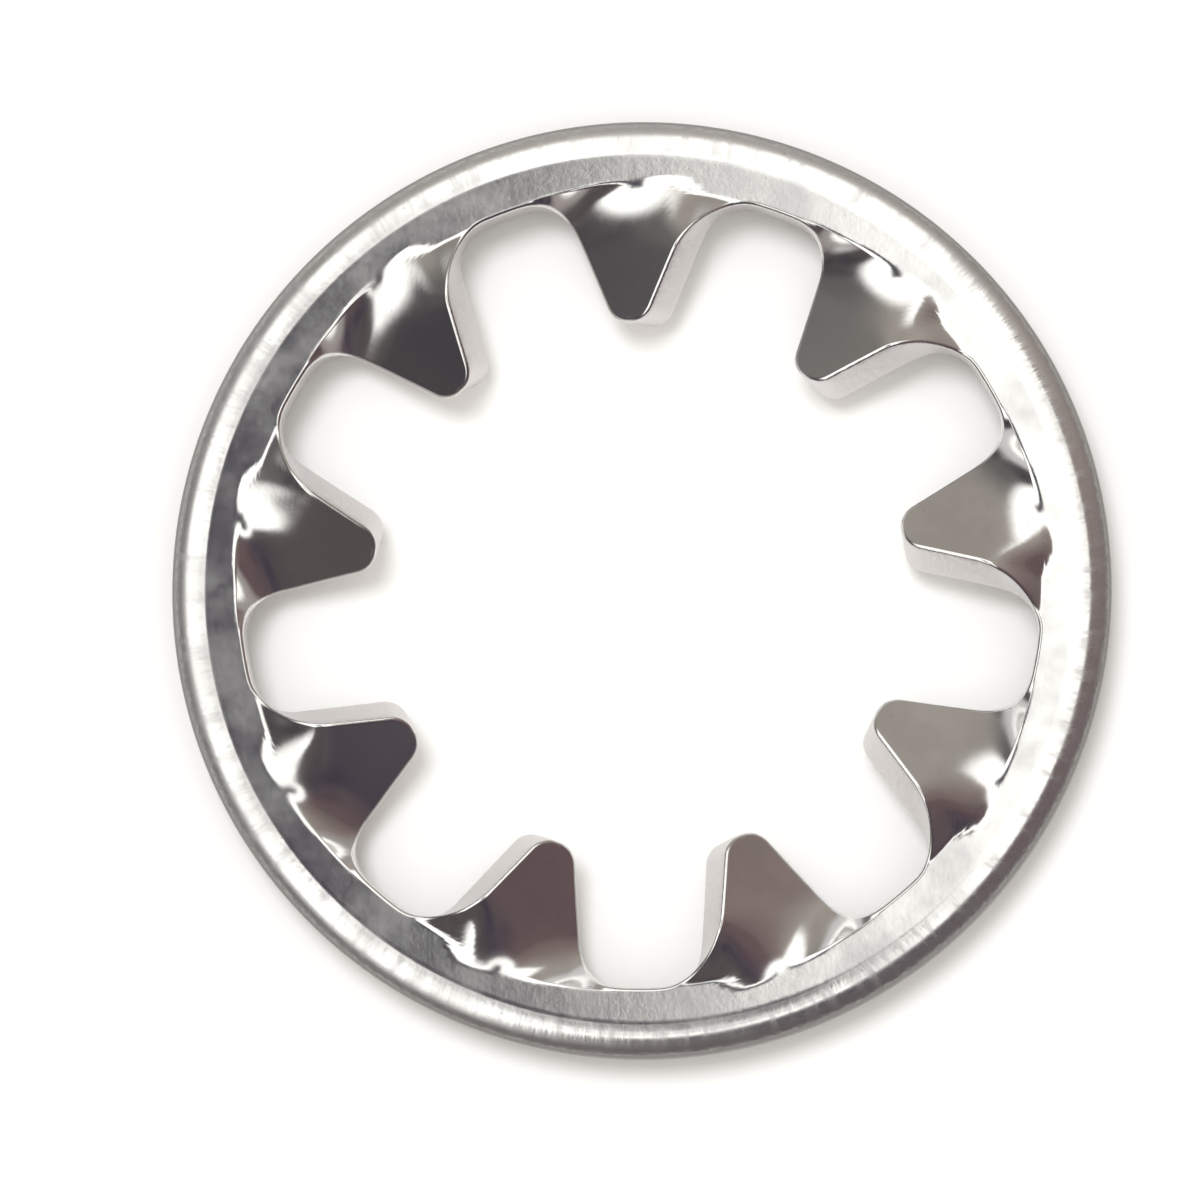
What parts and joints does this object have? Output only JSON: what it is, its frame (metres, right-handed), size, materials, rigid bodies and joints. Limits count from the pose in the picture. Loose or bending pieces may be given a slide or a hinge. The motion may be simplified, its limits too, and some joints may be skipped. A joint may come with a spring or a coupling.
{
  "type": "toothed lock washer",
  "caption": "Round internal-tooth lock washer: a flat steel ring with twisted teeth pointing in at the bolt, which bite the nut and the joint face.",
  "frame": {"origin": "centre of the washer, halfway through the sheet", "axes": "+Z along the bolt axis, out of the face whose outer edge is rolled; the clockwise flank of each tooth, seen from +Z, stands up towards +Z"},
  "size_m": [0.018, 0.018, 0.0018],
  "materials": {
    "plated_steel": "bright plated spring steel, tumbled, with fine rolling lines and a soft mirror gloss"
  },
  "bodies": {
    "root": {"lock_washer": "plated_steel"}
  },
  "joints": []
}
